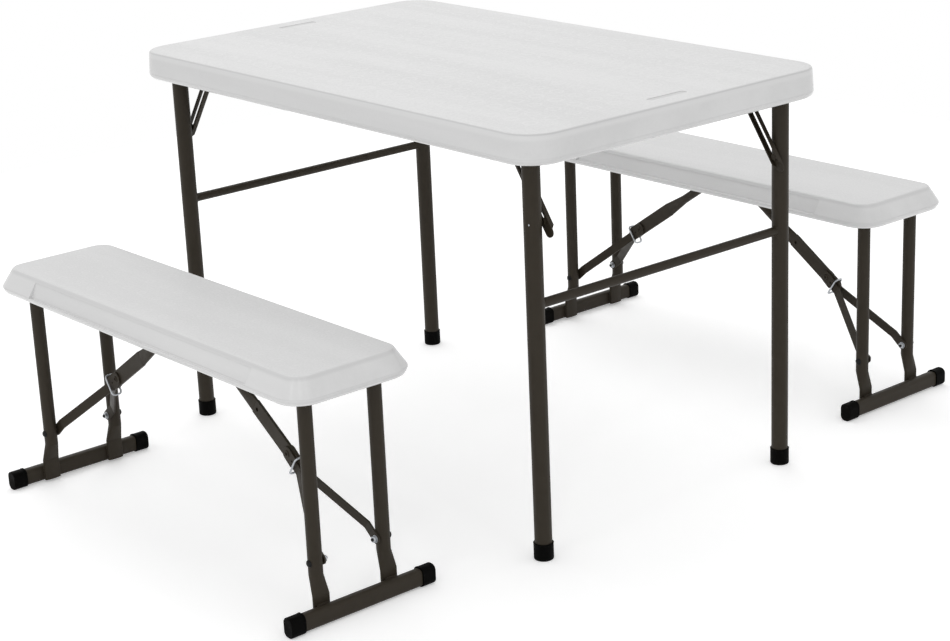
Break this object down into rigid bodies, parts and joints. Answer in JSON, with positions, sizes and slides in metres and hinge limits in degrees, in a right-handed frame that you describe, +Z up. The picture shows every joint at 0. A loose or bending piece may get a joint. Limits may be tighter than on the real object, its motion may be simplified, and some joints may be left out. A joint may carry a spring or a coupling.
{
  "type": "folding camping table with benches",
  "caption": "Folding camping table with a moulded top, folding tube legs and slotted locking links, with matching benches whose legs fold on jointed braces with sliding lock rings.",
  "frame": {"origin": "on the floor, midway between the two benches and the two ends of the table", "axes": "+X along the table and benches, +Y from the front bench to the rear bench, +Z up"},
  "size_m": [1.1186, 1.595, 0.737],
  "materials": {
    "moulded_plastic": "pale grey-white blow-moulded polyethylene with a fine pebble texture",
    "frame_coat": "dark bronze-brown powder coat",
    "black_plastic": "black moulded plastic",
    "zinc_steel": "zinc-plated steel",
    "black_steel": "blackened steel screws"
  },
  "bodies": {
    "table": {"table_top": "moulded_plastic", "front_side_rail": "frame_coat", "rear_side_rail": "frame_coat", "rail_fasteners": "zinc_steel"},
    "left_frame": {"left_legs": "frame_coat", "left_pivot_tube": "frame_coat", "left_stretcher": "frame_coat", "left_feet": "black_plastic"},
    "left_link_pair": {"left_links": "frame_coat"},
    "left_pin_pair": {"left_link_pins": "frame_coat"},
    "right_frame": {"right_legs": "frame_coat", "right_pivot_tube": "frame_coat", "right_stretcher": "frame_coat", "right_feet": "black_plastic"},
    "right_link_pair": {"right_links": "frame_coat"},
    "right_pin_pair": {"right_link_pins": "frame_coat"},
    "front_bench": {"front_bench_seat": "moulded_plastic", "front_bench_straps": "frame_coat", "front_bench_bracket": "frame_coat", "front_bench_seat_fasteners": "zinc_steel"},
    "front_bench_left_frame": {"front_bench_left_legs": "frame_coat", "front_bench_left_pivot_tube": "frame_coat", "front_bench_left_foot_bar": "frame_coat", "front_bench_left_foot_caps": "black_plastic", "front_bench_left_leg_screws": "black_steel"},
    "front_bench_left_arm": {"front_bench_left_upper_arm": "frame_coat"},
    "front_bench_left_lower_arms": {"front_bench_left_brace_arms": "frame_coat", "front_bench_left_brace_fasteners": "zinc_steel"},
    "front_bench_left_ring": {"front_bench_left_lock_ring": "zinc_steel"},
    "front_bench_right_frame": {"front_bench_right_legs": "frame_coat", "front_bench_right_pivot_tube": "frame_coat", "front_bench_right_foot_bar": "frame_coat", "front_bench_right_foot_caps": "black_plastic", "front_bench_right_leg_screws": "black_steel"},
    "front_bench_right_arm": {"front_bench_right_upper_arm": "frame_coat"},
    "front_bench_right_lower_arms": {"front_bench_right_brace_arms": "frame_coat", "front_bench_right_brace_fasteners": "zinc_steel"},
    "front_bench_right_ring": {"front_bench_right_lock_ring": "zinc_steel"},
    "rear_bench": {"rear_bench_seat": "moulded_plastic", "rear_bench_straps": "frame_coat", "rear_bench_bracket": "frame_coat", "rear_bench_seat_fasteners": "zinc_steel"},
    "rear_bench_left_frame": {"rear_bench_left_legs": "frame_coat", "rear_bench_left_pivot_tube": "frame_coat", "rear_bench_left_foot_bar": "frame_coat", "rear_bench_left_foot_caps": "black_plastic", "rear_bench_left_leg_screws": "black_steel"},
    "rear_bench_left_arm": {"rear_bench_left_upper_arm": "frame_coat"},
    "rear_bench_left_lower_arms": {"rear_bench_left_brace_arms": "frame_coat", "rear_bench_left_brace_fasteners": "zinc_steel"},
    "rear_bench_left_ring": {"rear_bench_left_lock_ring": "zinc_steel"},
    "rear_bench_right_frame": {"rear_bench_right_legs": "frame_coat", "rear_bench_right_pivot_tube": "frame_coat", "rear_bench_right_foot_bar": "frame_coat", "rear_bench_right_foot_caps": "black_plastic", "rear_bench_right_leg_screws": "black_steel"},
    "rear_bench_right_arm": {"rear_bench_right_upper_arm": "frame_coat"},
    "rear_bench_right_lower_arms": {"rear_bench_right_brace_arms": "frame_coat", "rear_bench_right_brace_fasteners": "zinc_steel"},
    "rear_bench_right_ring": {"rear_bench_right_lock_ring": "zinc_steel"}
  },
  "joints": [
    {"name": "left_leg_fold", "type": "hinge", "parent": "table", "child": "left_frame", "pos_m": [-0.498, -0.026, 0.697], "axis": [0, -1, 0], "range_deg": [0, 83]},
    {"name": "left_link_turn", "type": "hinge", "parent": "table", "child": "left_link_pair", "pos_m": [-0.429, -0.026, 0.691], "axis": [0, -1, 0], "range_deg": [0, 107.04]},
    {"name": "left_pin_slide", "type": "slide", "parent": "left_link_pair", "child": "left_pin_pair", "axis": [-0.5616, 0, -0.8274], "range_m": [-0.08557, 0]},
    {"name": "right_leg_fold", "type": "hinge", "parent": "table", "child": "right_frame", "pos_m": [0.498, -0.026, 0.697], "axis": [0, 1, 0], "range_deg": [0, 90]},
    {"name": "right_link_turn", "type": "hinge", "parent": "table", "child": "right_link_pair", "pos_m": [0.429, -0.026, 0.691], "axis": [0, 1, 0], "range_deg": [0, 124.18]},
    {"name": "right_pin_slide", "type": "slide", "parent": "right_link_pair", "child": "right_pin_pair", "axis": [0.5616, 0, -0.8274], "range_m": [-0.0861, 0]},
    {"name": "front_bench_push_in", "type": "slide", "parent": "table", "child": "front_bench", "axis": [0, 1, 0], "range_m": [-0.3, 0.1]},
    {"name": "front_bench_left_leg_fold", "type": "hinge", "parent": "front_bench", "child": "front_bench_left_frame", "pos_m": [-0.4052, -0.6525, 0.38571], "axis": [0, -1, 0], "range_deg": [0, 90]},
    {"name": "front_bench_left_arm_turn", "type": "hinge", "parent": "front_bench", "child": "front_bench_left_arm", "pos_m": [-0.0147, -0.6525, 0.38571], "axis": [0, -1, 0], "range_deg": [-33.91, 0]},
    {"name": "front_bench_left_knee", "type": "hinge", "parent": "front_bench_left_arm", "child": "front_bench_left_lower_arms", "pos_m": [-0.25894, -0.6525, 0.22158], "axis": [0, -1, 0], "range_deg": [0, 173.71]},
    {"name": "front_bench_left_ring_slide", "type": "slide", "parent": "front_bench_left_arm", "child": "front_bench_left_ring", "axis": [0.83, 0, 0.5578], "range_m": [0, 0.10805]},
    {"name": "front_bench_right_leg_fold", "type": "hinge", "parent": "front_bench", "child": "front_bench_right_frame", "pos_m": [0.4098, -0.6525, 0.38571], "axis": [0, 1, 0], "range_deg": [0, 90]},
    {"name": "front_bench_right_arm_turn", "type": "hinge", "parent": "front_bench", "child": "front_bench_right_arm", "pos_m": [0.0193, -0.6525, 0.38571], "axis": [0, 1, 0], "range_deg": [-33.91, 0]},
    {"name": "front_bench_right_knee", "type": "hinge", "parent": "front_bench_right_arm", "child": "front_bench_right_lower_arms", "pos_m": [0.26354, -0.6525, 0.22158], "axis": [0, 1, 0], "range_deg": [0, 173.71]},
    {"name": "front_bench_right_ring_slide", "type": "slide", "parent": "front_bench_right_arm", "child": "front_bench_right_ring", "axis": [-0.83, 0, 0.5578], "range_m": [0, 0.10805]},
    {"name": "rear_bench_push_in", "type": "slide", "parent": "table", "child": "rear_bench", "axis": [0, -1, 0], "range_m": [-0.3, 0.1]},
    {"name": "rear_bench_left_leg_fold", "type": "hinge", "parent": "rear_bench", "child": "rear_bench_left_frame", "pos_m": [-0.3898, 0.6525, 0.38571], "axis": [0, -1, 0], "range_deg": [0, 90]},
    {"name": "rear_bench_left_arm_turn", "type": "hinge", "parent": "rear_bench", "child": "rear_bench_left_arm", "pos_m": [0.0007, 0.6525, 0.38571], "axis": [0, -1, 0], "range_deg": [-33.91, 0]},
    {"name": "rear_bench_left_knee", "type": "hinge", "parent": "rear_bench_left_arm", "child": "rear_bench_left_lower_arms", "pos_m": [-0.24355, 0.6525, 0.22158], "axis": [0, -1, 0], "range_deg": [0, 173.71]},
    {"name": "rear_bench_left_ring_slide", "type": "slide", "parent": "rear_bench_left_arm", "child": "rear_bench_left_ring", "axis": [0.83, 0, 0.5578], "range_m": [0, 0.10805]},
    {"name": "rear_bench_right_leg_fold", "type": "hinge", "parent": "rear_bench", "child": "rear_bench_right_frame", "pos_m": [0.4252, 0.6525, 0.38571], "axis": [0, 1, 0], "range_deg": [0, 90]},
    {"name": "rear_bench_right_arm_turn", "type": "hinge", "parent": "rear_bench", "child": "rear_bench_right_arm", "pos_m": [0.0347, 0.6525, 0.38571], "axis": [0, 1, 0], "range_deg": [-33.91, 0]},
    {"name": "rear_bench_right_knee", "type": "hinge", "parent": "rear_bench_right_arm", "child": "rear_bench_right_lower_arms", "pos_m": [0.27894, 0.6525, 0.22158], "axis": [0, 1, 0], "range_deg": [0, 173.71]},
    {"name": "rear_bench_right_ring_slide", "type": "slide", "parent": "rear_bench_right_arm", "child": "rear_bench_right_ring", "axis": [-0.83, 0, 0.5578], "range_m": [0, 0.10805]}
  ],
  "couplings": [
    {"joint": "left_link_turn", "follows": "left_leg_fold", "ratio": 1.2895},
    {"joint": "left_pin_slide", "follows": "left_leg_fold", "m_per_rad": -0.059032},
    {"joint": "right_link_turn", "follows": "right_leg_fold", "ratio": 1.3796},
    {"joint": "right_pin_slide", "follows": "right_leg_fold", "m_per_rad": -0.05478},
    {"joint": "front_bench_left_arm_turn", "follows": "front_bench_left_leg_fold", "ratio": -0.37667},
    {"joint": "front_bench_left_knee", "follows": "front_bench_left_leg_fold", "ratio": 1.9301},
    {"joint": "front_bench_left_ring_slide", "follows": "front_bench_left_leg_fold", "m_per_rad": 0.068755},
    {"joint": "front_bench_right_arm_turn", "follows": "front_bench_right_leg_fold", "ratio": -0.37667},
    {"joint": "front_bench_right_knee", "follows": "front_bench_right_leg_fold", "ratio": 1.9301},
    {"joint": "front_bench_right_ring_slide", "follows": "front_bench_right_leg_fold", "m_per_rad": 0.068755},
    {"joint": "rear_bench_left_arm_turn", "follows": "rear_bench_left_leg_fold", "ratio": -0.37667},
    {"joint": "rear_bench_left_knee", "follows": "rear_bench_left_leg_fold", "ratio": 1.9301},
    {"joint": "rear_bench_left_ring_slide", "follows": "rear_bench_left_leg_fold", "m_per_rad": 0.068755},
    {"joint": "rear_bench_right_arm_turn", "follows": "rear_bench_right_leg_fold", "ratio": -0.37667},
    {"joint": "rear_bench_right_knee", "follows": "rear_bench_right_leg_fold", "ratio": 1.9301},
    {"joint": "rear_bench_right_ring_slide", "follows": "rear_bench_right_leg_fold", "m_per_rad": 0.068755}
  ]
}
